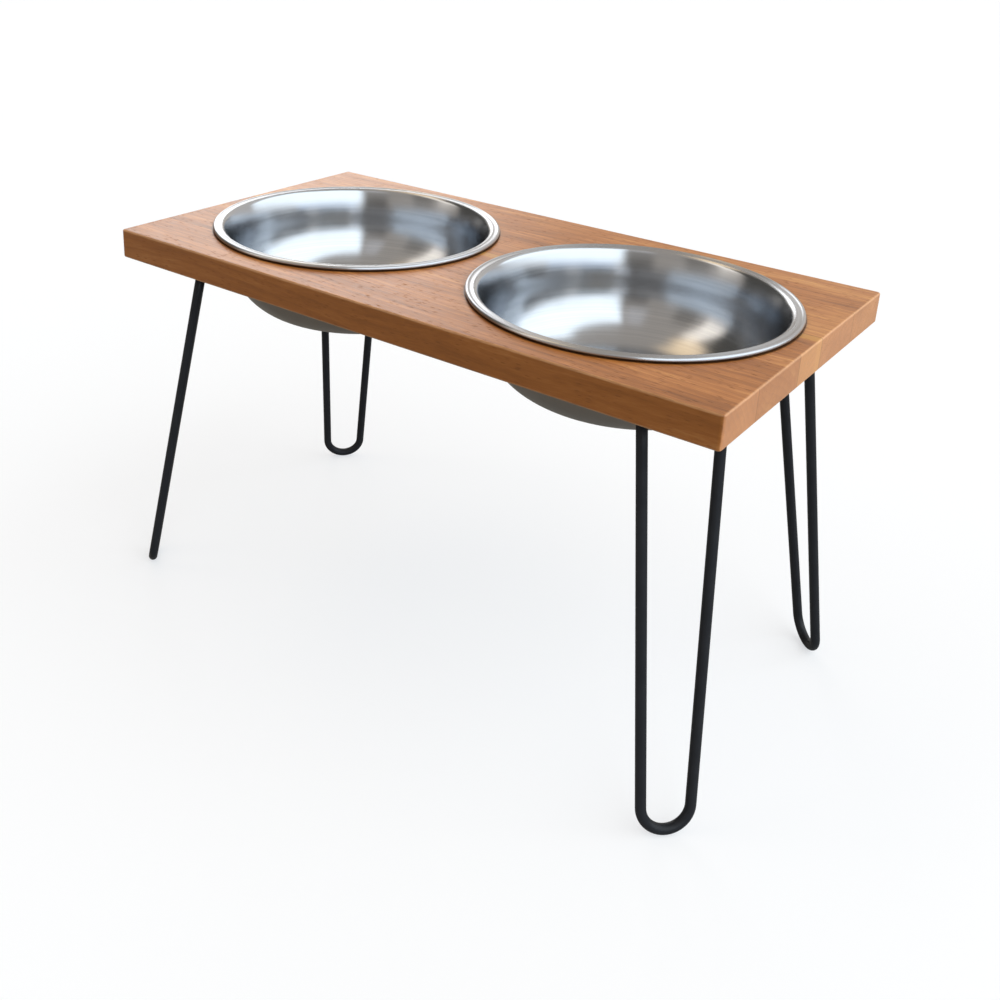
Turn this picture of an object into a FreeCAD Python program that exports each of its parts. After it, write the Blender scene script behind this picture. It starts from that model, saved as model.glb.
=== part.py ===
import FreeCAD, Part
import math
import os

from FreeCAD import Vector

# A raised feeding stand: a glued timber board on four splayed hairpin legs, with two drop-in steel bowls.
# Lengths are in millimetres and angles in degrees. The floor is z = 0, and the board's long front faces -Y.

# Bowl, drawn from one steel sheet with its edge curled under
rim_diameter = 255.5
rim_flat = 6.0
rim_bead_diameter = 3.6
rim_lip_radius = 4.5
rim_lip_drop = 0.3
rim_dish = 0.25
flare_radius = 70.0
flare_angle = 22.0
bowl_height = 79.6
bowl_sheet = 0.8
bowl_corner_radius = 51.6
bowl_draft = 2.5
bead_start_angle = -40.0
bead_end_angle = 260.0

# How the bowls sit in the board
seat_gap = 0.3
cutout_clearance = 2.4
rim_gap = 20.5

# Board, five staves glued edge to edge
board_end_margin = 14.25
board_side_margin = 21.75
board_thickness = 25.0
board_corner_radius = 3.0
board_edge_round = 1.5
stave_names = ("front", "second", "middle", "fourth", "back")
stave_width_shares = (0.178, 0.241, 0.140, 0.226, 0.215)

# Hairpin, one rod bent to a U that stands on its bend
leg_height = 305.0
leg_splay = 58.5
leg_facing = 44.0
leg_bearing = 46.5
rod_diameter = 8.0
rod_spacing = 57.0
bend_radius = 18.5
weld_leg = 4.0
weld_toe = 0.4

# Screws, four to a plate
screw_length = 19.0
screw_diameter = 4.2
screw_head_diameter = 8.4
screw_head_height = 2.6
screw_head_edge = 0.7
screw_tip = 4.0
screw_hole_clearance = 0.6
pilot_clearance = 0.1
pilot_spare = 1.0

# Mounting plate, welded on the two rods
plate_thickness = 3.0
plate_back = 12.0
plate_front = 28.0
plate_end_width = 16.0
plate_corner_radius = 5.0
plate_land = 3.85
screw_rim = 2.8
screw_weld_gap = 2.3
front_screw_spacing = 26.0
front_screw_inset = 10.0

# How far a cutting shape runs past what it cuts, and the sine of the lean that still counts as upright
overrun = 6.0
upright_sine = 0.1

# Sizes that follow from the ones above
rim_radius = rim_diameter / 2
bead_radius = rim_bead_diameter / 2
draft = math.radians(bowl_draft)
flare = math.radians(flare_angle)
lip_x = rim_radius - rim_flat
lip_z = rim_bead_diameter - rim_lip_drop - rim_lip_radius
flare_x = lip_x + (flare_radius - rim_lip_radius) * math.cos(flare)
flare_z = lip_z - (flare_radius - rim_lip_radius) * math.sin(flare)
collar_radius = flare_x - math.sqrt((flare_radius - bowl_sheet) ** 2 - (flare_z + seat_gap) ** 2)
cutout_radius = collar_radius + cutout_clearance
bowl_offset = rim_radius + rim_gap / 2
board_length = 2 * (bowl_offset + rim_radius + board_end_margin)
board_width = rim_diameter + 2 * board_side_margin
board_bottom = leg_height + plate_thickness
board_top = board_bottom + board_thickness
rod_radius = rod_diameter / 2
rod_offset = rod_spacing / 2
screw_radius = screw_diameter / 2
screw_head_radius = screw_head_diameter / 2
end_screw_y = rod_offset + rod_radius + weld_leg + screw_weld_gap + screw_head_radius
end_screw_x = plate_end_width / 2 - plate_back
front_screw_x = plate_front - front_screw_inset
plate_half = end_screw_y + screw_head_radius + screw_rim
leg_reach = cutout_radius + plate_land + plate_back
leg_x = bowl_offset + leg_reach * math.cos(math.radians(leg_bearing))
leg_y = leg_reach * math.sin(math.radians(leg_bearing))

origin = Vector(0, 0, 0)
upward = Vector(0, 0, 1)
corners = (("front_left", -1, -1), ("front_right", 1, -1), ("back_left", -1, 1), ("back_right", 1, 1))
screw_places = (
    (end_screw_x, -end_screw_y),
    (end_screw_x, end_screw_y),
    (front_screw_x, -front_screw_spacing / 2),
    (front_screw_x, front_screw_spacing / 2),
)


def line(start, end):
    """Straight edge between two points."""
    return Part.LineSegment(start, end).toShape()


def arc(start, middle, end):
    """Round edge through three points."""
    return Part.Arc(start, middle, end).toShape()


def turned(edges):
    """Solid swept by a closed outline in the XZ plane, turned once about Z."""
    face = Part.Face(Part.Wire(edges))
    return face.revolve(origin, upward, math.degrees(2 * math.pi))


def on_circle(centre, radius, angle):
    """Point of a circle in the XZ plane, its angle in radians from +Z towards +X."""
    return centre + Vector(radius * math.sin(angle), 0, radius * math.cos(angle))


def round_arc(centre, radius, first, last):
    """Edge along that circle from one angle to another."""
    angles = (first, (first + last) / 2, last)
    return arc(*[on_circle(centre, radius, angle) for angle in angles])


def rounded(shape, radius, upright):
    """The shape with its upright edges rounded, or all the others."""
    edges = []
    for edge in shape.Edges:
        runs_up = edge.tangentAt(edge.FirstParameter).cross(upward).Length < upright_sine
        if runs_up == upright:
            edges.append(edge)
    return shape.makeFillet(radius, edges)


def bowl():
    """Drawn bowl: flat base, round corner, wall that flares to a lip, dished rim and curled bead in one sheet.

    Every outer edge is the inner one moved out by the sheet, and the bead's foot is at z = 0."""
    across = math.pi / 2 + draft
    base = rim_bead_diameter - bowl_height
    floor = base + bowl_sheet
    lip_centre = Vector(lip_x, 0, lip_z)
    lip_under = rim_lip_radius - bowl_sheet
    flare_centre = Vector(flare_x, 0, flare_z)
    flare_under = flare_radius - bowl_sheet
    flare_first = draft - math.pi / 2
    flare_last = flare - math.pi / 2
    bead_centre = Vector(rim_radius - bead_radius, 0, bead_radius)
    bead_first = math.radians(bead_start_angle)
    bead_last = math.radians(bead_end_angle)
    bead_in = on_circle(bead_centre, bead_radius, bead_first)
    bead_out = on_circle(bead_centre, bead_radius, bead_last)
    lip_in = on_circle(lip_centre, rim_lip_radius, 0)
    lip_out = on_circle(lip_centre, lip_under, 0)
    valley_in = (lip_in + bead_in) / 2 - upward * rim_dish
    valley_out = valley_in - upward * bowl_sheet

    # The base corner's centre keeps its radius from the base and from the outer wall
    centre_z = base + bowl_corner_radius
    wall_point = on_circle(flare_centre, flare_under, flare_first)
    wall_distance = wall_point.x * math.cos(draft) - wall_point.z * math.sin(draft)
    centre_x = (wall_distance - bowl_corner_radius + centre_z * math.sin(draft)) / math.cos(draft)
    corner = Vector(centre_x, 0, centre_z)
    corner_in = bowl_corner_radius - bowl_sheet

    return turned([
        line(Vector(0, 0, floor), on_circle(corner, corner_in, math.pi)),
        round_arc(corner, corner_in, math.pi, across),
        line(on_circle(corner, corner_in, across), on_circle(flare_centre, flare_radius, flare_first)),
        round_arc(flare_centre, flare_radius, flare_first, flare_last),
        round_arc(lip_centre, rim_lip_radius, flare_last, 0),
        arc(lip_in, valley_in, bead_in),
        round_arc(bead_centre, bead_radius, bead_first, bead_last),
        arc(bead_out, valley_out, lip_out),
        round_arc(lip_centre, lip_under, 0, flare_last),
        round_arc(flare_centre, flare_under, flare_last, flare_first),
        line(wall_point, on_circle(corner, bowl_corner_radius, across)),
        round_arc(corner, bowl_corner_radius, across, math.pi),
        line(on_circle(corner, bowl_corner_radius, math.pi), Vector(0, 0, base)),
        line(Vector(0, 0, base), Vector(0, 0, floor)),
    ])


def board():
    """The glued panel in one piece: rounded corners, eased edges, cut-outs and the screws' pilot holes."""
    place = Vector(-board_length / 2, -board_width / 2, board_bottom)
    panel = Part.makeBox(board_length, board_width, board_thickness, place)
    panel = rounded(panel, board_corner_radius, True)
    panel = rounded(panel, board_edge_round, False)
    cuts = []
    for x_sign in (-1, 1):
        foot = Vector(x_sign * bowl_offset, 0, board_bottom - overrun)
        cuts.append(Part.makeCylinder(cutout_radius, board_thickness + 2 * overrun, foot))
    for name, x_sign, y_sign in corners:
        cuts.append(at_corner(pilot_holes(), x_sign, y_sign))
    return panel.cut(cuts)


def staves():
    """The panel's five staves by name, front to back, each with the pieces that the cut-outs leave of it."""
    whole = board()
    pieces = {}
    front = -board_width / 2
    for name, share in zip(stave_names, stave_width_shares):
        width = share * board_width
        place = Vector(-board_length / 2 - overrun, front, board_bottom - overrun)
        slab = Part.makeBox(board_length + 2 * overrun, width, board_thickness + 2 * overrun, place)
        pieces[name] = whole.common(slab)
        front = front + width
    return pieces


def at_corner(shape, x_sign, y_sign):
    """A leg's piece moved from its own frame to a corner: turned, moved out and mirrored to its side.

    In its own frame X runs outward, Y runs along the two rods' tops, and their middle is at x = y = 0."""
    moved = shape.copy()
    moved.rotate(origin, upward, leg_facing)
    moved.translate(Vector(leg_x, leg_y, 0))
    if x_sign < 0:
        moved = moved.mirror(origin, Vector(1, 0, 0))
    if y_sign < 0:
        moved = moved.mirror(origin, Vector(0, 1, 0))
    return moved


def rod_path(side):
    """Where one straight of the rod starts under the plate, where it meets the bend, and the bend's foot."""
    head = Vector(0, 0, leg_height)
    foot = Vector(leg_splay, 0, rod_radius)
    length = (foot - head).Length
    down = (foot - head) / length
    reach = length - bend_radius
    spread = math.hypot(rod_offset, reach)
    angle = math.atan2(rod_offset, reach) + math.acos(bend_radius / spread)
    start = head + Vector(0, side * rod_offset, 0)
    across = Vector(0, side * bend_radius * math.sin(angle), 0)
    meet = head + down * (reach - bend_radius * math.cos(angle)) + across
    return start, meet, foot


def above_rods():
    """The space above the plate's underside, which the leaning rods are cut off by."""
    half = rod_offset + rod_radius + weld_leg + 2 * overrun
    return Part.makeBox(2 * half, 2 * half, 2 * half, Vector(-half, -half, leg_height))


def hairpin():
    """One rod: two straights that close in on a half-round bend at the floor, cut off level at the plate."""
    left_start, left_meet, foot = rod_path(-1)
    right_start, right_meet, foot = rod_path(1)
    left_run = (left_start - left_meet).normalize()
    right_run = (right_start - right_meet).normalize()
    left_end = left_start + left_run * overrun
    right_end = right_start + right_run * overrun
    path = Part.Wire([
        line(left_end, left_meet),
        arc(left_meet, foot, right_meet),
        line(right_meet, right_end),
    ])
    section = Part.Wire([Part.Circle(left_end, left_run, rod_radius).toShape()])
    rod = path.makePipeShell([section], True, False)
    return rod.cut(above_rods())


def welds():
    """A sloped bead of weld metal round the top of each rod, against the plate."""
    rod = hairpin()
    beads = []
    for side in (-1, 1):
        start, meet, foot = rod_path(side)
        down = (meet - start).normalize()
        toe_radius = rod_radius + weld_toe
        height = weld_leg + overrun
        cone = Part.makeCone(toe_radius + height, toe_radius, height, start - down * overrun, down)
        beads.append(cone.cut([above_rods(), rod]))
    return Part.makeCompound(beads)


def plate():
    """Flat steel plate: its long edge faces the bowl, its outer corners are cut along the board's edges."""
    end_x = plate_end_width - plate_back
    front_half = plate_half - (plate_front - end_x)
    outline = [(-plate_back, -plate_half), (end_x, -plate_half), (plate_front, -front_half)]
    outline = outline + [(x, -y) for x, y in reversed(outline)]
    points = [Vector(x, y, leg_height) for x, y in outline]
    body = Part.Face(Part.makePolygon(points + points[:1])).extrude(upward * plate_thickness)
    body = rounded(body, plate_corner_radius, True)
    hole_radius = screw_radius + screw_hole_clearance
    holes = []
    for x, y in screw_places:
        foot = Vector(x, y, leg_height - overrun)
        holes.append(Part.makeCylinder(hole_radius, plate_thickness + 2 * overrun, foot))
    return body.cut(holes)


def screw():
    """Pan-headed wood screw, upright with its head's bearing face at z = 0."""
    rise = screw_head_height - screw_head_edge
    dome_radius = (screw_head_radius ** 2 + rise ** 2) / (2 * rise)
    dome = Vector(0, 0, dome_radius - screw_head_height)
    dome_angle = math.asin(screw_head_radius / dome_radius)
    rim = on_circle(dome, dome_radius, math.pi - dome_angle)
    crown = on_circle(dome, dome_radius, math.pi)
    bearing = Vector(screw_head_radius, 0, 0)
    neck = Vector(screw_radius, 0, 0)
    shoulder = Vector(screw_radius, 0, screw_length - screw_tip)
    tip = Vector(0, 0, screw_length)
    return turned([
        round_arc(dome, dome_radius, math.pi, math.pi - dome_angle),
        line(rim, bearing),
        line(bearing, neck),
        line(neck, shoulder),
        line(shoulder, tip),
        line(tip, crown),
    ])


def screws():
    """The plate's four screws, driven up into the board."""
    group = []
    for x, y in screw_places:
        one = screw()
        one.translate(Vector(x, y, leg_height))
        group.append(one)
    return Part.makeCompound(group)


def pilot_holes():
    """Holes bored up into the board for one plate's screws."""
    radius = screw_radius + pilot_clearance
    depth = screw_length - plate_thickness + pilot_spare
    bores = []
    for x, y in screw_places:
        bores.append(Part.makeCylinder(radius, depth + overrun, Vector(x, y, board_bottom - overrun)))
    return Part.makeCompound(bores)


def save(shape, node):
    """Writes one named piece."""
    shape.exportStep("parts/" + node + ".step")


os.makedirs("parts", exist_ok=True)

for name, stave in staves().items():
    save(stave, "board_" + name + "_stave")

for name, x_sign in (("left_bowl", -1), ("right_bowl", 1)):
    piece = bowl()
    piece.translate(Vector(x_sign * bowl_offset, 0, board_top + seat_gap))
    save(piece, name)

leg_pieces = {"hairpin": hairpin(), "plate": plate(), "welds": welds(), "screws": screws()}
for corner_name, x_sign, y_sign in corners:
    for piece_name, piece in leg_pieces.items():
        save(at_corner(piece, x_sign, y_sign), corner_name + "_" + piece_name)
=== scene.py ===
import math

import bpy
import numpy as np
from mathutils import Matrix, Vector


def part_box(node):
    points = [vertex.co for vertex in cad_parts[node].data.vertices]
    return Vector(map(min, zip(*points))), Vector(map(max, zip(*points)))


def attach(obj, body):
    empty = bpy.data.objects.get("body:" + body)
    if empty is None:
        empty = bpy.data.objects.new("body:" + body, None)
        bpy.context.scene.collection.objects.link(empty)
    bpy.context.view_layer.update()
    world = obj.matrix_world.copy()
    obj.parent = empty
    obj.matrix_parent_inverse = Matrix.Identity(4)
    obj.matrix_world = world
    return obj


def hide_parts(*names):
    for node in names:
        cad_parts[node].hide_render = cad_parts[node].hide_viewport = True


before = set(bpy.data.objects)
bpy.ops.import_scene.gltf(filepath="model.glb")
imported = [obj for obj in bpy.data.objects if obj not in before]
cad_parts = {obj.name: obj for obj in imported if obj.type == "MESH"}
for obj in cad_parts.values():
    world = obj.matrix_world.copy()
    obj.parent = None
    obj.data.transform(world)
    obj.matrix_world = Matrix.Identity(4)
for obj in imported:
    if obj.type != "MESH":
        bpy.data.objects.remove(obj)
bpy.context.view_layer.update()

# A raised feeding stand: a glued timber board on four hairpin legs, with two drop-in steel bowls.
# Lengths are in metres, and the sizes repeat those of the solids. The floor is z = 0, and the front faces -Y.
MM = 0.001

# Bowl
RIM_FLAT = 6.0 * MM
BEAD_RADIUS = 1.8 * MM
LIP_RADIUS = 4.5 * MM
LIP_DROP = 0.3 * MM
RIM_DISH = 0.25 * MM
FLARE_RADIUS = 70.0 * MM
FLARE_ANGLE = math.radians(22.0)
BOWL_SHEET = 0.8 * MM
BOWL_CORNER_RADIUS = 51.6 * MM
BOWL_DRAFT = math.radians(2.5)
BEAD_FIRST = math.radians(-40.0)
BEAD_LAST = math.radians(260.0)
# Past this angle round the bead, its underside takes the darker outside steel, a painted shade
BEAD_POLISHED = math.radians(112.0)
BOWL_COLUMNS = 256

# Points along each line of the bowl's outline, inside and outside, and where its base starts, as a share
BASE_STEPS = (16, 10)
CORNER_STEPS = (44, 32)
WALL_STEPS = 4
FLARE_STEPS = (24, 16)
LIP_STEPS = (16, 10)
RIM_STEPS = 12
BEAD_STEPS = 28
BASE_START = 0.04

# Leg
LEG_HEIGHT = 305.0 * MM
LEG_SPLAY = 58.5 * MM
LEG_FACING = math.radians(44.0)
LEG_BEARING = math.radians(46.5)
LEG_REACH = 136.375 * MM
ROD_RADIUS = 4.0 * MM
ROD_OFFSET = 28.5 * MM
BEND_RADIUS = 18.5 * MM
BEND_STEPS = 49
STRAIGHT_STEPS = 12
ROD_COLUMNS = 32

# Weld. Its ripples lean by an angle in radians
WELD_LEG = 4.0 * MM
WELD_TOE = 0.4 * MM
WELD_BULGE = 0.14 * MM
WELD_RIPPLE = 0.25 * MM
WELD_RIPPLES = 18
WELD_LEAN = 2.2
WELD_ROWS = 12
WELD_COLUMNS = 144

# Screw. The recess's edge and fade and the crown's start are shares of its width, reach and radius
SCREW_LENGTH = 19.0 * MM
SCREW_RADIUS = 2.1 * MM
SCREW_ROOT = 1.5 * MM
SCREW_PITCH = 1.8 * MM
SCREW_TIP = 4.0 * MM
HEAD_RADIUS = 4.2 * MM
HEAD_HEIGHT = 2.6 * MM
HEAD_EDGE = 0.7 * MM
RECESS_DEPTH = 1.5 * MM
RECESS_REACH = 2.3 * MM
RECESS_WIDTH = 0.55 * MM
RECESS_EDGE = 0.3
RECESS_FADE = 0.35
CROWN_START = 0.03
CROWN_STEPS = 34
SHANK_STEPS = 64
TIP_STEPS = 14
SCREW_COLUMNS = 72
SCREW_PLACES = np.array([(-4.0, -43.0), (-4.0, 43.0), (18.0, -13.0), (18.0, 13.0)]) * MM

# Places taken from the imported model
CORNERS = {"front_left": (-1, -1), "front_right": (1, -1), "back_left": (-1, 1), "back_right": (1, 1)}
BOWLS = ("left_bowl", "right_bowl")
bowl_low, bowl_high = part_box("right_bowl")
rim_radius = (bowl_high.x - bowl_low.x) / 2
bowl_offset = (bowl_high.x + bowl_low.x) / 2
board_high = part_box("board_back_stave")[1]
board_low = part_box("board_front_stave")[0]
leg_place = np.array([
    bowl_offset + LEG_REACH * math.cos(LEG_BEARING),
    LEG_REACH * math.sin(LEG_BEARING),
    0.0,
])


# Shapes

def shell(grid, ends=None):
    """Points and faces of one closed surface from a grid of points, rows by columns.

    Neighbouring points make four-sided faces, and the last column joins the first. With ends, a fan of
    triangles closes the first row to the first end point and the last row to the second. Without, the last
    row joins the first. The faces are turned round if the sum of corner products, six times the volume,
    comes out negative."""
    rows, columns = grid.shape[:2]
    column = np.arange(columns)
    after = np.roll(column, -1)
    row = np.arange(rows - 1 if ends else rows)[:, None]
    below = (row + 1) % rows
    here, next_row = row * columns, below * columns
    quads = np.stack([here + column, here + after, next_row + after, next_row + column], -1)
    quads = quads.reshape(-1, 4)
    points = grid.reshape(-1, 3)
    fans = np.zeros((0, 3), int)
    if ends:
        first = np.full(columns, len(points))
        last = (rows - 1) * columns
        fans = np.concatenate([
            np.stack([after, column, first], -1),
            np.stack([last + column, last + after, first + 1], -1),
        ])
        points = np.concatenate([points, np.array(ends)])
    middle = points - points.mean(0)
    triangles = np.concatenate([quads[:, [0, 1, 2]], quads[:, [0, 2, 3]], fans])
    a, b, c = middle[triangles[:, 0]], middle[triangles[:, 1]], middle[triangles[:, 2]]
    if np.sum(a * np.cross(b, c)) < 0:
        quads, fans = quads[:, ::-1], fans[:, ::-1]
    return points, quads.tolist() + fans.tolist()


def piece(name, shells, materials, body, node, which=None):
    """Makes one smooth object from closed shells, which rides on a body and replaces a node of the solids.

    With which, a material's number for every face, the faces share out the materials."""
    points, faces, start = [], [], 0
    for shell_points, shell_faces in shells:
        faces += [[start + corner for corner in face] for face in shell_faces]
        points.append(shell_points)
        start += len(shell_points)
    mesh = bpy.data.meshes.new(name)
    mesh.from_pydata(np.concatenate(points).tolist(), [], faces)
    mesh.polygons.foreach_set("use_smooth", np.ones(len(mesh.polygons), bool))
    for material in materials:
        mesh.materials.append(material)
    if which is not None:
        mesh.polygons.foreach_set("material_index", which)
    made = bpy.data.objects.new(name, mesh)
    bpy.context.scene.collection.objects.link(made)
    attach(made, body)
    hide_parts(node)


def arc(centre, radius, first, last, count):
    """Points of a circle: centre plus radius times (sine, cosine) of an angle that runs in equal steps."""
    angle = np.linspace(first, last, count)
    return np.array(centre) + radius * np.column_stack([np.sin(angle), np.cos(angle)])


def bowl_profile():
    """The drawn sheet's outline as (radius, height), and how many of its points are polished, bowl and rim.

    It runs along the base, corner, wall, flare, lip, dished rim and curled bead, then back along the
    outside, every outer line being the inner one moved out by the sheet. Straights and circles are points in
    equal steps, each circle touches the next line, and the dish is a parabola below the chord from lip to
    bead."""
    across = math.pi / 2 + BOWL_DRAFT
    flare_first, flare_last = BOWL_DRAFT - math.pi / 2, FLARE_ANGLE - math.pi / 2
    base = bowl_low.z
    top = bowl_high.z
    lip = np.array([rim_radius - RIM_FLAT, top - LIP_DROP - LIP_RADIUS])
    flare_way = np.array([math.cos(FLARE_ANGLE), -math.sin(FLARE_ANGLE)])
    flare = lip + (FLARE_RADIUS - LIP_RADIUS) * flare_way
    bead = np.array([rim_radius - BEAD_RADIUS, top - BEAD_RADIUS])
    flare_out = arc(flare, FLARE_RADIUS - BOWL_SHEET, flare_last, flare_first, FLARE_STEPS[1])
    wall = flare_out[-1]
    corner_z = base + BOWL_CORNER_RADIUS
    reach = wall[0] * math.cos(BOWL_DRAFT) - wall[1] * math.sin(BOWL_DRAFT) - BOWL_CORNER_RADIUS
    corner = np.array([(reach + corner_z * math.sin(BOWL_DRAFT)) / math.cos(BOWL_DRAFT), corner_z])
    corner_in = arc(corner, BOWL_CORNER_RADIUS - BOWL_SHEET, math.pi, across, CORNER_STEPS[0])
    corner_out = arc(corner, BOWL_CORNER_RADIUS, across, math.pi, CORNER_STEPS[1])
    flare_in = arc(flare, FLARE_RADIUS, flare_first, flare_last, FLARE_STEPS[0])
    lip_in = arc(lip, LIP_RADIUS, flare_last, 0, LIP_STEPS[0])
    lip_out = arc(lip, LIP_RADIUS - BOWL_SHEET, 0, flare_last, LIP_STEPS[1])
    curl = arc(bead, BEAD_RADIUS, BEAD_FIRST, BEAD_LAST, BEAD_STEPS)
    share = np.linspace(0, 1, RIM_STEPS)[:, None]
    sag = np.hstack([0 * share, 4 * RIM_DISH * share * (1 - share)])
    dish = lip_in[-1] + (curl[0] - lip_in[-1]) * share - sag
    fold = curl[-1] + (lip_out[0] - curl[-1]) * share
    start = np.array([BASE_START, 1.0])
    inner = np.concatenate([
        np.linspace(start * corner_in[0], corner_in[0], BASE_STEPS[0])[:-1],
        corner_in[:-1],
        np.linspace(corner_in[-1], flare_in[0], WALL_STEPS)[:-1],
        flare_in[:-1],
        lip_in[:-1],
        dish[:-1],
        curl,
    ])
    outer = np.concatenate([
        fold[1:-1],
        lip_out[:-1],
        flare_out[:-1],
        np.linspace(wall, corner_out[0], WALL_STEPS)[:-1],
        corner_out[:-1],
        np.linspace(corner_out[-1], start * corner_out[-1], BASE_STEPS[1]),
    ])
    # The bead's underside past BEAD_POLISHED takes the darker outside steel as painted shade
    dull = np.linspace(BEAD_FIRST, BEAD_LAST, BEAD_STEPS) > BEAD_POLISHED
    return np.concatenate([inner, outer]), len(inner) - int(dull.sum())


def turned(profile, x, columns):
    """Grid of a profile turned about an upright axis: (x + radius cos angle, radius sin angle, height)."""
    angle = np.linspace(0, 2 * math.pi, columns, endpoint=False)
    radius, height = profile[:, :1], profile[:, 1:]
    return np.stack([x + radius * np.cos(angle), radius * np.sin(angle), height + 0 * angle], -1)


def at_corner(points, x_sign, y_sign):
    """Points of a leg's own frame at its corner: turned by the facing, moved out, mirrored by the signs."""
    c, s = math.cos(LEG_FACING), math.sin(LEG_FACING)
    turn = np.array([[c, s, 0.0], [-s, c, 0.0], [0.0, 0.0, 1.0]])
    return (np.asarray(points) @ turn + leg_place) * np.array([x_sign, y_sign, 1.0])


def rod_line():
    """Top of the leg's middle line, its run down, the way across, and the points of the bend.

    The bend is part of a circle that stands on the floor. The two straights touch it where the line from a
    straight's top to the circle's centre makes a right triangle with the bend radius."""
    head = np.array([0.0, 0.0, LEG_HEIGHT])
    foot = np.array([LEG_SPLAY, 0.0, ROD_RADIUS])
    length = np.linalg.norm(foot - head)
    down = (foot - head) / length
    sideways = np.array([0.0, 1.0, 0.0])
    reach = length - BEND_RADIUS
    open_angle = math.atan2(ROD_OFFSET, reach) + math.acos(BEND_RADIUS / math.hypot(ROD_OFFSET, reach))
    angle = np.linspace(open_angle - math.pi, math.pi - open_angle, BEND_STEPS)[:, None]
    bend = head + down * reach + BEND_RADIUS * (np.cos(angle) * down + np.sin(angle) * sideways)
    return head, down, sideways, bend


def hairpin(x_sign, y_sign):
    """Tube round the rod's middle line: a point of it plus the rod's radius times the cosine of an angle
    along the plane's normal and its sine along the side. The first and last rings slide on to the plate."""
    head, down, sideways, bend = rod_line()
    normal = np.cross(sideways, down)
    left = np.linspace(head - ROD_OFFSET * sideways, bend[0], STRAIGHT_STEPS)
    right = np.linspace(bend[-1], head + ROD_OFFSET * sideways, STRAIGHT_STEPS)
    path = np.concatenate([left[:-1], bend, right[1:]])
    run = np.gradient(path, axis=0)
    run[0], run[-1] = left[1] - left[0], right[1] - right[0]
    run /= np.linalg.norm(run, axis=1, keepdims=True)
    side = np.cross(normal, run)
    angle = np.linspace(0, 2 * math.pi, ROD_COLUMNS, endpoint=False)[None, :, None]
    grid = path[:, None] + ROD_RADIUS * (np.cos(angle) * normal + np.sin(angle) * side[:, None])
    for row in (0, -1):
        slide = (LEG_HEIGHT - grid[row][:, 2:]) / run[row][2]
        grid[row] += slide * run[row]
    ends = [path[0], path[-1]]
    return shell(at_corner(grid, x_sign, y_sign), list(at_corner(ends, x_sign, y_sign)))


def weld_bead(side, x_sign, y_sign):
    """Ring of weld round the top of one straight: a sloped, slightly bulged section carried round the rod,
    its face rippled by a cosine of the angle that leans along the slope, and its upper rows slid on to the
    plate."""
    head, _, sideways, bend = rod_line()
    start = head + side * ROD_OFFSET * sideways
    run = (bend[0] if side < 0 else bend[-1]) - start
    run = run / np.linalg.norm(run)
    across = np.cross(sideways, run)
    across /= np.linalg.norm(across)
    along = np.cross(run, across)
    angle = np.linspace(0, 2 * math.pi, WELD_COLUMNS, endpoint=False)
    share = np.linspace(0, 1, WELD_ROWS)[:, None]
    bulge = np.sin(math.pi * share)
    ripple = WELD_RIPPLE * bulge * np.cos(WELD_RIPPLES * angle + WELD_LEAN * bulge)
    radius = ROD_RADIUS + (WELD_TOE + WELD_LEG) * (1 - share) + WELD_BULGE * bulge + ripple
    inner = np.full((1, WELD_COLUMNS), ROD_RADIUS - WELD_TOE)
    radius = np.concatenate([radius, inner, inner])
    depth = np.concatenate([WELD_LEG * share, [[WELD_LEG]], [[0.0]]]) + 0 * angle
    ring = np.cos(angle)[:, None] * across + np.sin(angle)[:, None] * along
    grid = start + depth[..., None] * run + radius[..., None] * ring
    level = np.concatenate([1 - share, [[0.0]], [[1.0]]])[..., None]
    grid = grid + level * (LEG_HEIGHT - grid[..., 2:]) / run[2] * run
    return shell(at_corner(grid, x_sign, y_sign))


def wood_screw(x, y, x_sign, y_sign):
    """Pan-headed screw as one grid: rows run from the crown over the rim and along the shank to the point.

    The crown is a circle's cap, sunk where a cross of two bars of half-width w passes: depth times a smooth
    step of (w - the smaller of |x|, |y|), fading to its reach. The thread is a cosine of angle plus height
    over pitch."""
    rise = HEAD_HEIGHT - HEAD_EDGE
    dome = (HEAD_RADIUS ** 2 + rise ** 2) / (2 * rise)
    angle = np.linspace(0, 2 * math.pi, SCREW_COLUMNS, endpoint=False)
    crown = np.linspace(CROWN_START, 1, CROWN_STEPS)[:, None] * HEAD_RADIUS
    height = -HEAD_HEIGHT + dome - np.sqrt(dome ** 2 - crown ** 2) + 0 * angle
    across = np.minimum(np.abs(crown * np.cos(angle)), np.abs(crown * np.sin(angle)))
    sink = np.clip((RECESS_WIDTH - across) / (RECESS_EDGE * RECESS_WIDTH) + 0.5, 0, 1)
    fade = np.clip((RECESS_REACH - crown) / (RECESS_FADE * RECESS_REACH), 0, 1)
    height = height + RECESS_DEPTH * sink * sink * (3 - 2 * sink) * fade
    shank_z = np.linspace(0, SCREW_LENGTH - SCREW_TIP, SHANK_STEPS)[:, None]
    tip_z = np.linspace(SCREW_LENGTH - SCREW_TIP, SCREW_LENGTH, TIP_STEPS)[1:-1, None]
    z = np.concatenate([shank_z, tip_z])
    taper = np.clip((SCREW_LENGTH - z) / SCREW_TIP, 0, 1)
    thread = 0.5 + 0.5 * np.cos(angle + 2 * math.pi * z / SCREW_PITCH)
    shank = (SCREW_ROOT + (SCREW_RADIUS - SCREW_ROOT) * thread) * taper
    radius = np.concatenate([crown + 0 * angle, np.full((1, SCREW_COLUMNS), HEAD_RADIUS), shank])
    height = np.concatenate([height, np.zeros((1, SCREW_COLUMNS)), z + 0 * angle])
    grid = np.stack([x + radius * np.cos(angle), y + radius * np.sin(angle), LEG_HEIGHT + height], -1)
    ends = [(x, y, LEG_HEIGHT - HEAD_HEIGHT + RECESS_DEPTH), (x, y, LEG_HEIGHT + SCREW_LENGTH)]
    return shell(at_corner(grid, x_sign, y_sign), list(at_corner(ends, x_sign, y_sign)))


# Materials

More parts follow.
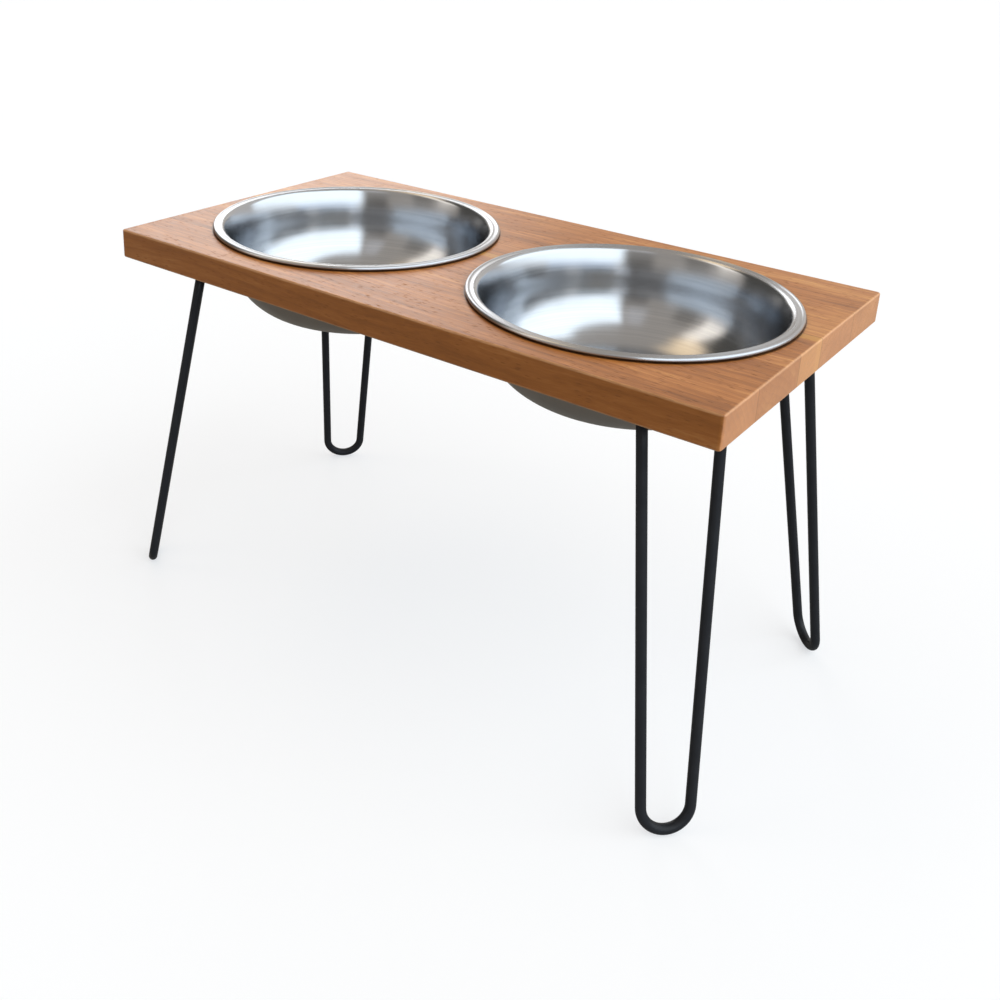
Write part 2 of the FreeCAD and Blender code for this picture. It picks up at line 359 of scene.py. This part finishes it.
def colour(text):
    """Linear colour of an sRGB hex value."""
    part = np.array([int(text[i:i + 2], 16) for i in (1, 3, 5)]) / 255
    return (*np.where(part <= 0.04045, part / 12.92, ((part + 0.055) / 1.055) ** 2.4).tolist(), 1.0)


def add(tree, kind, inputs=None, stops=None, **settings):
    """Adds a node: its settings by name, its inputs by name or number, each a value or another node's output,
    and for a ramp its stops as pairs of place and colour."""
    made = tree.nodes.new(kind)
    for name, value in settings.items():
        setattr(made, name, value)
    for name, value in (inputs or {}).items():
        if isinstance(value, bpy.types.NodeSocket):
            tree.links.new(value, made.inputs[name])
        else:
            made.inputs[name].default_value = value
    for number, (place, shade) in enumerate(stops or []):
        stop = made.color_ramp.elements[number] if number < 2 else made.color_ramp.elements.new(place)
        stop.position = place
        stop.color = shade
    return made


def new_material(name):
    """An empty node material, its node tree and its Object coordinates."""
    material = bpy.data.materials.new(name)
    material.use_nodes = True
    tree = material.node_tree
    tree.nodes.clear()
    return material, tree, add(tree, "ShaderNodeTexCoord").outputs["Object"]


# Timber. Growth rings have a gap, a darkness at places across one ring, and a weight. Bands, streaks and
# fibres have a length, a width, noise detail and a weight. Waves of the grain and cells of the pores are
# counted in a metre, along and across
RING_GAP = 6.0 * MM
RING_GREYS = ((0, 0.35), (1, 0.3), (0.55, 0.5), (0.9, 0.8))
RING_WEIGHT = -0.16
GRAIN = ((260 * MM, 26 * MM, 3, 0.4), (55 * MM, 4 * MM, 4, 0.3), (13 * MM, 0.9 * MM, 3, 0.3))
TIMBER_SHADES = ((0.25, "#7a481c"), (0.60, "#cf985a"), (0.36, "#985d28"), (0.44, "#aa6c35"))
GRAIN_WAVES = (3, 16, 16)
GRAIN_DRIFT = 22.0 * MM
PORE_CELLS = (105, 640, 640)


def oiled_acacia(stave, pith, lean, tone, sapwood, end_grain):
    """Oiled acacia, planed and sanded: golden brown bands along X, growth rings round a pith line that show
    as arcs on the ends, short dark pores, a thin glue line at each joint, painted shade on the front and back
    faces, pale arrises of rubbed wear and painted highlight, a painted shadow round each bowl's rim and the
    satin film of the oil."""
    low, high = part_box("board_" + stave + "_stave")
    material, tree, place = new_material("oiled_acacia_" + stave)
    along = add(tree, "ShaderNodeMapping", {0: place, "Location": pith, "Rotation": (0, *lean)}).outputs[0]

    # The grain wanders by up to 22 mm in waves about 330 mm long and 60 mm wide
    slow = add(tree, "ShaderNodeMapping", {0: along, "Scale": GRAIN_WAVES}).outputs[0]
    drift = add(tree, "ShaderNodeTexNoise", {0: slow, "Scale": 1.0, "Detail": 2.0}).outputs["Color"]
    bent = {0: drift, 1: (0, GRAIN_DRIFT, GRAIN_DRIFT), 2: along}
    bent = add(tree, "ShaderNodeVectorMath", bent, operation="MULTIPLY_ADD").outputs[0]

    # Growth rings 6 mm apart, each one darkest just before the next
    flat = add(tree, "ShaderNodeVectorMath", {0: bent, 1: (0, 1, 1)}, operation="MULTIPLY").outputs[0]
    radius = add(tree, "ShaderNodeVectorMath", {0: flat}, operation="LENGTH").outputs["Value"]
    rings = add(tree, "ShaderNodeMath", {0: radius, 1: 1 / RING_GAP}, operation="MULTIPLY").outputs[0]
    phase = add(tree, "ShaderNodeMath", {0: rings}, operation="FRACT").outputs[0]
    greys = [(stop, (grey, grey, grey, 1)) for stop, grey in RING_GREYS]
    ring = add(tree, "ShaderNodeValToRGB", {0: phase}, stops=greys).outputs[0]

    # Bands, streaks and fibres, all long in X; the fibres are drawn coarser than real ones so that they show
    mixed = tone
    for length, width, detail, weight in GRAIN:
        scale = (1 / length, 1 / width, 1 / width)
        stretched = add(tree, "ShaderNodeMapping", {0: bent, "Scale": scale}).outputs[0]
        noise = {0: stretched, "Scale": 1.0, "Detail": detail, "Roughness": 0.6}
        fibre = add(tree, "ShaderNodeTexNoise", noise).outputs[0]
        mixed = {0: fibre, 1: weight, 2: mixed}
        mixed = add(tree, "ShaderNodeMath", mixed, operation="MULTIPLY_ADD").outputs[0]
    mixed = {0: ring, 1: RING_WEIGHT, 2: mixed}
    mixed = add(tree, "ShaderNodeMath", mixed, operation="MULTIPLY_ADD").outputs[0]
    shades = [(stop, colour(shade)) for stop, shade in TIMBER_SHADES]
    timber = add(tree, "ShaderNodeValToRGB", {0: mixed}, stops=shades).outputs[0]

    # Distance to the joints and, on the sapwood side, a paler yellow strip
    across = add(tree, "ShaderNodeSeparateXYZ", {0: place}).outputs[1]
    to_front = add(tree, "ShaderNodeMath", {0: across, 1: low.y}, operation="SUBTRACT").outputs[0]
    to_back = add(tree, "ShaderNodeMath", {0: high.y, 1: across}, operation="SUBTRACT").outputs[0]
    strip = {0: to_back, 1: sapwood, 2: sapwood - 3 * MM, 3: 0.0, 4: 0.7}
    strip = add(tree, "ShaderNodeMapRange", strip, interpolation_type="SMOOTHSTEP").outputs[0]
    timber = {0: strip, 6: timber, 7: colour("#bd8a40")}
    timber = add(tree, "ShaderNodeMix", timber, data_type="RGBA").outputs[2]

    # Pores about 4 mm long and 0.7 mm wide, one in about half of the cells of 9.5 by 1.6 mm, drawn a little
    # wide so that they show
    pore_place = add(tree, "ShaderNodeMapping", {0: bent, "Scale": PORE_CELLS}).outputs[0]
    cells = add(tree, "ShaderNodeTexVoronoi", {0: pore_place, "Scale": 1.0})
    near = {0: cells.outputs["Distance"], 1: 0.14, 2: 0.3, 3: 1.0, 4: 0.0}
    near = add(tree, "ShaderNodeMapRange", near).outputs[0]
    chosen = add(tree, "ShaderNodeSeparateColor", {0: cells.outputs["Color"]}).outputs[0]
    chosen = add(tree, "ShaderNodeMath", {0: chosen, 1: 0.5}, operation="GREATER_THAN").outputs[0]
    pore = add(tree, "ShaderNodeMath", {0: near, 1: chosen}, operation="MULTIPLY").outputs[0]
    share = add(tree, "ShaderNodeMath", {0: pore, 1: 0.55}, operation="MULTIPLY").outputs[0]
    timber = {0: share, 6: timber, 7: colour("#4f2b13")}
    timber = add(tree, "ShaderNodeMix", timber, data_type="RGBA").outputs[2]

    # Depth below each pair of the board's faces. All three less the largest is small only near an arris
    centre, half = (board_low + board_high) / 2, (board_high - board_low) / 2
    offset = add(tree, "ShaderNodeVectorMath", {0: place, 1: centre}, operation="SUBTRACT").outputs[0]
    offset = add(tree, "ShaderNodeVectorMath", {0: offset}, operation="ABSOLUTE").outputs[0]
    depth = add(tree, "ShaderNodeVectorMath", {0: half, 1: offset}, operation="SUBTRACT").outputs[0]
    total = {0: depth, 1: (1, 1, 1)}
    total = add(tree, "ShaderNodeVectorMath", total, operation="DOT_PRODUCT").outputs["Value"]
    part = add(tree, "ShaderNodeSeparateXYZ", {0: depth}).outputs
    deepest = add(tree, "ShaderNodeMath", {0: part[0], 1: part[1]}, operation="MAXIMUM").outputs[0]
    deepest = add(tree, "ShaderNodeMath", {0: deepest, 1: part[2]}, operation="MAXIMUM").outputs[0]
    arris = add(tree, "ShaderNodeMath", {0: total, 1: deepest}, operation="SUBTRACT").outputs[0]

    # Painted shade that darkens the front and back faces, pale end grain, then the dark glue lines, then the
    # pale arrises, part rubbed wear and part painted highlight
    painted_shade_sides = {0: part[1], 1: 1.2 * MM, 2: 0.3 * MM, 3: 0.0, 4: 0.58}
    painted_shade_sides = add(tree, "ShaderNodeMapRange", painted_shade_sides, interpolation_type="SMOOTHSTEP").outputs[0]
    timber = {0: painted_shade_sides, 6: timber, 7: colour("#7d4706")}
    timber = add(tree, "ShaderNodeMix", timber, data_type="RGBA").outputs[2]
    end = {0: part[0], 1: 1.2 * MM, 2: 0.3 * MM, 3: 0.0, 4: 0.62}
    end = add(tree, "ShaderNodeMapRange", end, interpolation_type="SMOOTHSTEP").outputs[0]
    timber = {0: end, 6: timber, 7: colour(end_grain)}
    timber = add(tree, "ShaderNodeMix", timber, data_type="RGBA").outputs[2]
    for side, outer in ((to_front, "front"), (to_back, "back")):
        if stave != outer:
            glue = {0: side, 1: 0.0, 2: 0.7 * MM, 3: 0.5, 4: 0.0}
            glue = add(tree, "ShaderNodeMapRange", glue).outputs[0]
            timber = {0: glue, 6: timber, 7: colour("#5b3418")}
            timber = add(tree, "ShaderNodeMix", timber, data_type="RGBA").outputs[2]
    # Pale arrises: part rubbed wear, part a painted highlight along the rounded edges
    rubbed_and_highlight = {0: arris, 1: 1.9 * MM, 2: 0.7 * MM, 3: 0.0, 4: 0.45}
    rubbed_and_highlight = add(tree, "ShaderNodeMapRange", rubbed_and_highlight, interpolation_type="SMOOTHSTEP").outputs[0]
    rubbed_and_highlight = add(tree, "ShaderNodeMath", {0: rubbed_and_highlight, 1: fibre}, operation="MULTIPLY").outputs[0]
    timber = {0: rubbed_and_highlight, 6: timber, 7: colour("#e6c096")}
    timber = add(tree, "ShaderNodeMix", timber, data_type="RGBA").outputs[2]

    # Painted shadow: a dark ring where each rim stands, sharp outside the rim, fading out 4 mm inside it, and
    # uneven with the fibres. Mirrored in X, the two bowls are measured as one
    mirrored = add(tree, "ShaderNodeVectorMath", {0: place}, operation="ABSOLUTE").outputs[0]
    mirrored = {0: mirrored, 1: (bowl_offset, 0, 0)}
    mirrored = add(tree, "ShaderNodeVectorMath", mirrored, operation="SUBTRACT").outputs[0]
    mirrored = {0: mirrored, 1: (1, 1, 0)}
    mirrored = add(tree, "ShaderNodeVectorMath", mirrored, operation="MULTIPLY").outputs[0]
    from_axis = add(tree, "ShaderNodeVectorMath", {0: mirrored}, operation="LENGTH").outputs["Value"]
    painted_rim_shadow = add(tree, "ShaderNodeMapRange", {0: fibre, 1: 0.35, 2: 0.55, 3: 0.6, 4: 0.9}).outputs[0]
    for nothing, full in ((1.3 * MM, 0.3 * MM), (-4.0 * MM, -1.0 * MM)):
        step = {0: from_axis, 1: rim_radius + nothing, 2: rim_radius + full, 3: 0.0, 4: 1.0}
        step = add(tree, "ShaderNodeMapRange", step, interpolation_type="SMOOTHSTEP").outputs[0]
        painted_rim_shadow = add(tree, "ShaderNodeMath", {0: painted_rim_shadow, 1: step}, operation="MULTIPLY").outputs[0]
    timber = {0: painted_rim_shadow, 6: timber, 7: colour("#1f1009")}
    timber = add(tree, "ShaderNodeMix", timber, data_type="RGBA").outputs[2]

    # Satin oil film, duller over the pores, which are also sunk a little between the fibres
    film = add(tree, "ShaderNodeMapRange", {0: fibre, 1: 0.3, 2: 0.7, 3: 0.3, 4: 0.42}).outputs[0]
    film = add(tree, "ShaderNodeMath", {0: pore, 1: 0.25, 2: film}, operation="MULTIPLY_ADD").outputs[0]
    height = add(tree, "ShaderNodeMath", {0: pore, 1: -1.0, 2: fibre}, operation="MULTIPLY_ADD").outputs[0]
    relief = {"Strength": 0.25, "Distance": 0.2 * MM, "Height": height}
    relief = add(tree, "ShaderNodeBump", relief).outputs[0]
    surface = {"Base Color": timber, "Roughness": film, "Normal": relief, "IOR": 1.45}
    surface = add(tree, "ShaderNodeBsdfPrincipled", surface).outputs[0]
    add(tree, "ShaderNodeOutputMaterial", {"Surface": surface})
    return material


def spun_steel(name, axis):
    """Spun stainless steel, polished on the lathe: fine rings round the bowl's axis stretch each reflection
    up and down the wall, light use leaves it a little cloudy, and the rim, curled after polishing, is
    duller."""
    material, tree, place = new_material(name)
    centred = add(tree, "ShaderNodeMapping", {0: place, "Location": (-axis, 0, 0)}).outputs[0]
    cloud = add(tree, "ShaderNodeTexNoise", {0: centred, "Scale": 1 / (25 * MM), "Detail": 3.0}).outputs[0]
    flat = add(tree, "ShaderNodeVectorMath", {0: centred, 1: (1, 1, 0)}, operation="MULTIPLY").outputs[0]
    radius = add(tree, "ShaderNodeVectorMath", {0: flat}, operation="LENGTH").outputs["Value"]
    height = add(tree, "ShaderNodeSeparateXYZ", {0: centred}).outputs[2]
    profile_place = add(tree, "ShaderNodeCombineXYZ", {0: radius, 1: height}).outputs[0]

    # Lathe rings 1.6 mm wide, drawn coarser than the real polish so that they show
    rings = {0: profile_place, "Scale": 1 / (1.6 * MM), "Detail": 2.0}
    rings = add(tree, "ShaderNodeTexNoise", rings, noise_dimensions="2D").outputs[0]
    rough = add(tree, "ShaderNodeMapRange", {0: cloud, 1: 0.3, 2: 0.7, 3: 0.15, 4: 0.19}).outputs[0]
    rough = add(tree, "ShaderNodeMath", {0: rings, 1: 0.04, 2: rough}, operation="MULTIPLY_ADD").outputs[0]
    rim = {0: radius, 1: rim_radius - RIM_FLAT - LIP_RADIUS, 2: rim_radius - RIM_FLAT, 3: 0.0, 4: 0.1}
    rim = add(tree, "ShaderNodeMapRange", rim, interpolation_type="SMOOTHSTEP").outputs[0]
    rough = add(tree, "ShaderNodeMath", {0: rough, 1: rim}, operation="ADD").outputs[0]
    shade = add(tree, "ShaderNodeMix", {
        0: rings, 6: colour("#a9aeb5"), 7: colour("#b8bcc1"),
    }, data_type="RGBA").outputs[2]
    relief = {"Strength": 0.06, "Distance": 0.05 * MM, "Height": rings}
    relief = add(tree, "ShaderNodeBump", relief).outputs[0]
    surface = add(tree, "ShaderNodeBsdfPrincipled", {
        "Base Color": shade, "Metallic": 1.0, "Roughness": rough, "Normal": relief,
        "Anisotropic": 0.9, "Anisotropic Rotation": 0.25,
    }).outputs[0]
    add(tree, "ShaderNodeOutputMaterial", {"Surface": surface})
    return material


def rolled_steel_painted_shade(name):
    """Stainless sheet as the mill rolled it, unpolished under the board: dull and cloudy, and darker and
    warmer as painted shade and a painted reflection of warm surroundings, also on the underside of the rim's
    bead.
    """
    material, tree, place = new_material(name)
    cloud = add(tree, "ShaderNodeTexNoise", {0: place, "Scale": 1 / (18 * MM), "Detail": 4.0}).outputs[0]
    rough = add(tree, "ShaderNodeMapRange", {0: cloud, 1: 0.3, 2: 0.7, 3: 0.38, 4: 0.5}).outputs[0]
    shade = add(tree, "ShaderNodeMix", {
        0: cloud, 6: colour("#807a72"), 7: colour("#938c83"),
    }, data_type="RGBA").outputs[2]

    # Rolled grain 0.6 mm wide, drawn coarser than the real one so that it shows
    grit = add(tree, "ShaderNodeTexNoise", {0: place, "Scale": 1 / (0.6 * MM), "Detail": 1.0}).outputs[0]
    relief = add(tree, "ShaderNodeBump", {"Strength": 0.1, "Distance": 0.05 * MM, "Height": grit}).outputs[0]
    surface = add(tree, "ShaderNodeBsdfPrincipled", {
        "Base Color": shade, "Metallic": 1.0, "Roughness": rough, "Normal": relief,
    }).outputs[0]
    add(tree, "ShaderNodeOutputMaterial", {"Surface": surface})
    return material


def black_powder_coat(name):
    """Black powder coat, baked: satin black with a faint orange peel, and paler grey where the bends stand,
    part rubbed wear and part painted highlight.
    """
    material, tree, place = new_material(name)
    peel = add(tree, "ShaderNodeTexNoise", {0: place, "Scale": 1 / (1.2 * MM), "Detail": 1.0}).outputs[0]
    cloud = add(tree, "ShaderNodeTexNoise", {0: place, "Scale": 1 / (14 * MM), "Detail": 3.0}).outputs[0]
    rough = add(tree, "ShaderNodeMapRange", {0: cloud, 1: 0.3, 2: 0.7, 3: 0.3, 4: 0.4}).outputs[0]
    tint = add(tree, "ShaderNodeMix", {
        0: cloud, 6: colour("#1f2125"), 7: colour("#282a2e"),
    }, data_type="RGBA").outputs[2]
    # Paler grey at the foot of each bend: part rubbed wear, part a painted highlight
    level = add(tree, "ShaderNodeSeparateXYZ", {0: place}).outputs[2]
    rub_and_highlight = {0: level, 1: 3.0 * MM, 2: 0.2 * MM, 3: 0.0, 4: 0.8}
    rub_and_highlight = add(tree, "ShaderNodeMapRange", rub_and_highlight, interpolation_type="SMOOTHSTEP").outputs[0]
    rub_and_highlight = add(tree, "ShaderNodeMath", {0: rub_and_highlight, 1: cloud}, operation="MULTIPLY").outputs[0]
    tint = add(tree, "ShaderNodeMix", {0: rub_and_highlight, 6: tint, 7: colour("#4a4a4b")}, data_type="RGBA").outputs[2]
    relief = add(tree, "ShaderNodeBump", {"Strength": 0.15, "Distance": 0.1 * MM, "Height": peel}).outputs[0]
    surface = add(tree, "ShaderNodeBsdfPrincipled", {
        "Base Color": tint, "Roughness": rough, "Specular IOR Level": 0.15, "Normal": relief,
    }).outputs[0]
    add(tree, "ShaderNodeOutputMaterial", {"Surface": surface})
    return material


def zinc_plated_steel(name):
    """Zinc-plated steel: pale, slightly blue, softly cloudy metal."""
    material, tree, place = new_material(name)
    cloud = add(tree, "ShaderNodeTexNoise", {0: place, "Scale": 1 / (2 * MM), "Detail": 3.0}).outputs[0]
    rough = add(tree, "ShaderNodeMapRange", {0: cloud, 1: 0.3, 2: 0.7, 3: 0.25, 4: 0.42}).outputs[0]
    tint = add(tree, "ShaderNodeMix", {
        0: cloud, 6: colour("#a9adb2"), 7: colour("#c6c9cc"),
    }, data_type="RGBA").outputs[2]
    relief = add(tree, "ShaderNodeBump", {"Strength": 0.1, "Distance": 0.05 * MM, "Height": cloud}).outputs[0]
    surface = add(tree, "ShaderNodeBsdfPrincipled", {
        "Base Color": tint, "Roughness": rough, "Metallic": 1.0, "Normal": relief,
    }).outputs[0]
    add(tree, "ShaderNodeOutputMaterial", {"Surface": surface})
    return material


FLOOR_REACH = 14.0
FLOOR_LIFT = 0.63


def studio_floor(name):
    """Matt pale floor: the camera sees it lifted to white, and the matt part keeps the shadow."""
    material, tree = new_material(name)[:2]
    seen = add(tree, "ShaderNodeLightPath").outputs["Is Camera Ray"]
    lift = add(tree, "ShaderNodeMath", {0: seen, 1: FLOOR_LIFT}, operation="MULTIPLY").outputs[0]
    matt = add(tree, "ShaderNodeBsdfDiffuse", {"Color": colour("#a0a0a0")}).outputs[0]
    white = add(tree, "ShaderNodeEmission", {"Color": colour("#f8fbff"), "Strength": lift}).outputs[0]
    surface = add(tree, "ShaderNodeAddShader", {0: matt, 1: white}).outputs[0]
    add(tree, "ShaderNodeOutputMaterial", {"Surface": surface})
    return material


# Pieces

# Each stave's own wood: where its pith lies, how its grain leans, tone, width of sapwood and end grain
STAVES = {
    "front": ((0.03, 0.21, -0.26), (0.01, 0.03), -0.03, 0.0, "#d89a70"),
    "second": ((0.31, 0.14, -0.21), (-0.02, -0.02), -0.01, 0.0, "#cc9068"),
    "middle": ((0.72, -0.08, -0.24), (0.015, 0.02), -0.03, 11 * MM, "#ecae7a"),
    "fourth": ((1.13, -0.12, -0.27), (-0.01, 0.03), 0.02, 0.0, "#dc9e74"),
    "back": ((1.47, -0.22, -0.23), (0.02, -0.03), 0.0, 0.0, "#dc9f74"),
}
for stave, wood in STAVES.items():
    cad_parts["board_" + stave + "_stave"].data.materials[0] = oiled_acacia(stave, *wood)

dull_steel_painted_shade = rolled_steel_painted_shade("rolled_stainless_steel_painted_shade")
powder_coat = black_powder_coat("black_powder_coat")
zinc = zinc_plated_steel("zinc_plated_steel")

# Faces of the bowl: 0 for the polished inside and rim, 1 for the dull outside and the bead's underside,
# whose darker steel is painted shade, the two base fans last
profile, polished_rows = bowl_profile()
outside = np.repeat(np.arange(len(profile) - 1) >= polished_rows - 1, BOWL_COLUMNS)
outside = np.concatenate([outside, np.zeros(BOWL_COLUMNS), np.ones(BOWL_COLUMNS)]).astype(int)
for bowl, x in zip(BOWLS, (-bowl_offset, bowl_offset)):
    finishes = [spun_steel(bowl + "_spun_stainless_steel", x), dull_steel_painted_shade]
    axis_points = [(x, 0.0, profile[0, 1]), (x, 0.0, profile[-1, 1])]
    shells = [shell(turned(profile, x, BOWL_COLUMNS), axis_points)]
    piece(bowl + "_spun", shells, finishes, bowl, bowl, outside)

for corner, signs in CORNERS.items():
    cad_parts[corner + "_plate"].data.materials[0] = powder_coat
    piece(corner + "_rod", [hairpin(*signs)], [powder_coat], "stand", corner + "_hairpin")
    beads = [weld_bead(side, *signs) for side in (-1, 1)]
    piece(corner + "_weld_beads", beads, [powder_coat], "stand", corner + "_welds")
    screws = [wood_screw(x, y, *signs) for x, y in SCREW_PLACES]
    piece(corner + "_wood_screws", screws, [zinc], "stand", corner + "_screws")


# Stage

floor_mesh = bpy.data.meshes.new("floor")
floor_corners = np.array([(-1, -1, 0), (1, -1, 0), (1, 1, 0), (-1, 1, 0)]) * FLOOR_REACH
floor_mesh.from_pydata(floor_corners.tolist(), [], [(0, 1, 2, 3)])
floor_mesh.materials.append(studio_floor("matt_white_floor"))
floor = bpy.data.objects.new("floor", floor_mesh)
bpy.context.scene.collection.objects.link(floor)


# Soft panels of the studio: range of bearings from +X towards +Y and range of height angles, in degrees, then
# shade and strength. A negative strength takes light away, as a dark screen does
PANEL_SOFT = math.radians(5.0)
STUDIO_AIR = (0.61, 0.54, 0.47)
PANELS = (
    ((-54, 60), (8, 63), "#eaf7ff", 2.1),
    ((-48, 8), (-8, 7), "#86c2ff", 1.25),
    ((60, 110), (-8, 55), "#ffffff", 0.3),
    ((124, 146), (10, 34), "#ffffff", 3.0),
    ((207, 227), (18, 58), "#fff3e3", 1.5),
    ((140, 212), (53, 69), "#ffd79b", 1.3),
    ((222, 264), (-8, 5), "#f4f8ff", 0.5),
    ((280, 300), (32, 64), "#e6f0ff", 0.3),
    ((152, 205), (-8, 50), "#fff1e3", -0.48),
    ((282, 304), (-8, 24), "#fff1e3", -0.38),
    ((236, 256), (10, 42), "#fff1e3", -0.25),
)


def soft_panel(tree, light, bearings, heights, shade, strength):
    """Adds one soft panel to the studio's light: a smooth step in from each side of its range of bearings,
    times the same for its range of height angles, times its shade and strength."""
    ray = add(tree, "ShaderNodeTexCoord").outputs["Generated"]
    middle = math.radians(sum(bearings) / 2)
    half = math.radians((bearings[1] - bearings[0]) / 2)
    turned_ray = {0: ray, "Angle": -middle}
    turned_ray = add(tree, "ShaderNodeVectorRotate", turned_ray, rotation_type="Z_AXIS").outputs[0]
    part = add(tree, "ShaderNodeSeparateXYZ", {0: turned_ray}).outputs
    bearing = add(tree, "ShaderNodeMath", {0: part[1], 1: part[0]}, operation="ARCTAN2").outputs[0]
    bearing = add(tree, "ShaderNodeMath", {0: bearing}, operation="ABSOLUTE").outputs[0]
    rise = add(tree, "ShaderNodeMath", {0: part[2]}, operation="ARCSINE").outputs[0]
    low, high = (math.radians(limit) for limit in heights)
    share = strength
    limits = ((bearing, half, -PANEL_SOFT), (rise, low, PANEL_SOFT), (rise, high, -PANEL_SOFT))
    for value, limit, soft in limits:
        step = {0: value, 1: limit - soft, 2: limit + soft, 3: 0.0, 4: 1.0}
        step = add(tree, "ShaderNodeMapRange", step, interpolation_type="SMOOTHSTEP").outputs[0]
        share = add(tree, "ShaderNodeMath", {0: step, 1: share}, operation="MULTIPLY").outputs[0]
    glow = {0: share, 1: colour(shade)[:3], 2: light}
    return add(tree, "ShaderNodeVectorMath", glow, operation="MULTIPLY_ADD").outputs[0]


world = bpy.data.worlds.new("studio")
bpy.context.scene.world = world
world.use_nodes = True
studio = world.node_tree
studio.nodes.clear()
light = STUDIO_AIR
for panel in PANELS:
    light = soft_panel(studio, light, *panel)

# The camera sees plain white behind the object
seen = add(studio, "ShaderNodeLightPath").outputs["Is Camera Ray"]
light = {0: seen, 6: light, 7: colour("#ffffff")}
light = add(studio, "ShaderNodeMix", light, data_type="RGBA").outputs[2]
air = add(studio, "ShaderNodeBackground", {"Color": light}).outputs[0]
add(studio, "ShaderNodeOutputWorld", {"Surface": air})

# Camera, at the photograph's place: bearing and rise in radians round a point near the board's front edge,
# with a slight roll
CAMERA_BEARING = 0.6427
CAMERA_RISE = 0.3605
CAMERA_ROLL = 0.0358
CAMERA_DISTANCE = 835.05 * MM
CAMERA_AIM = Vector((40.67 * MM, -132.01 * MM, 333.0 * MM))
CAMERA_LENS = 41.431
CAMERA_SHIFT = (0.07444, -0.18768)
CAMERA_FAR = 100.0

back = Vector((
    math.sin(CAMERA_BEARING) * math.cos(CAMERA_RISE),
    -math.cos(CAMERA_BEARING) * math.cos(CAMERA_RISE),
    math.sin(CAMERA_RISE),
))
level = Vector((math.cos(CAMERA_BEARING), math.sin(CAMERA_BEARING), 0))
lens = bpy.data.cameras.new("camera")
lens.lens = CAMERA_LENS
lens.shift_x, lens.shift_y = CAMERA_SHIFT
lens.clip_end = CAMERA_FAR
camera = bpy.data.objects.new("camera", lens)
turn = Matrix((level, back.cross(level), back)).transposed() @ Matrix.Rotation(CAMERA_ROLL, 3, "Z")
camera.matrix_world = Matrix.Translation(CAMERA_AIM + back * CAMERA_DISTANCE) @ turn.to_4x4()
bpy.context.scene.collection.objects.link(camera)
bpy.context.scene.camera = camera

bpy.context.scene.view_settings.view_transform = "Standard"
